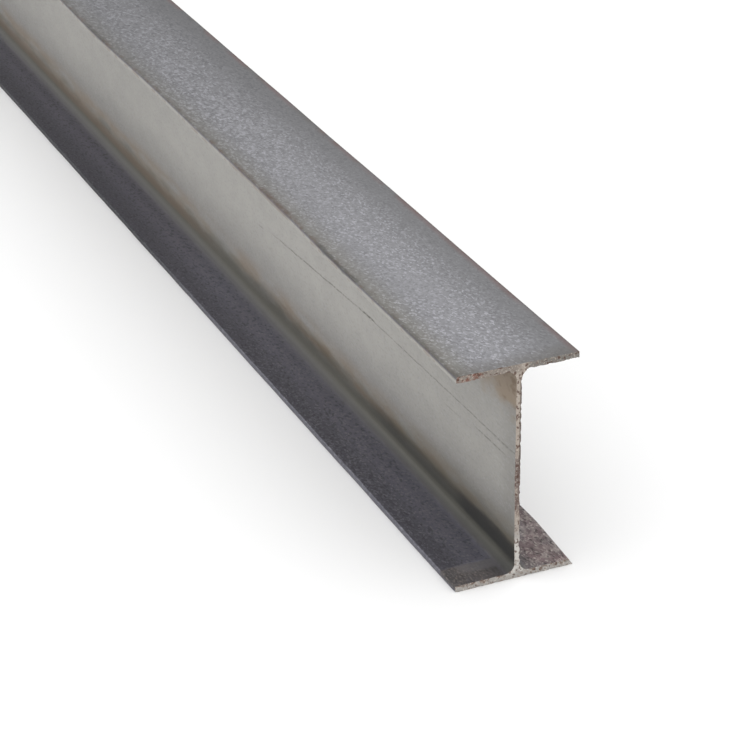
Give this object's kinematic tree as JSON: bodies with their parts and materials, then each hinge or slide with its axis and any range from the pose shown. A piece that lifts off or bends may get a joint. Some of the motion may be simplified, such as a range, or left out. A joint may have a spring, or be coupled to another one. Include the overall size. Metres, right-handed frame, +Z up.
{
  "type": "h-beam",
  "caption": "Long hot-rolled steel H-beam with parallel flanges, a thin web and rounded roots, sawn square at both ends; structural stock for beams, posts and frames.",
  "frame": {"origin": "middle of the beam's length, under the web, on the lower flange's outer face", "axes": "+X along the beam, +Y across the flanges, +Z up through the web from the lower flange to the upper one"},
  "size_m": [6, 0.11, 0.2],
  "materials": {
    "rolled_steel": "as rolled: grey mill scale, rust at the toes and on the sawn ends"
  },
  "bodies": {
    "root": {"h_beam": "rolled_steel"}
  },
  "joints": []
}
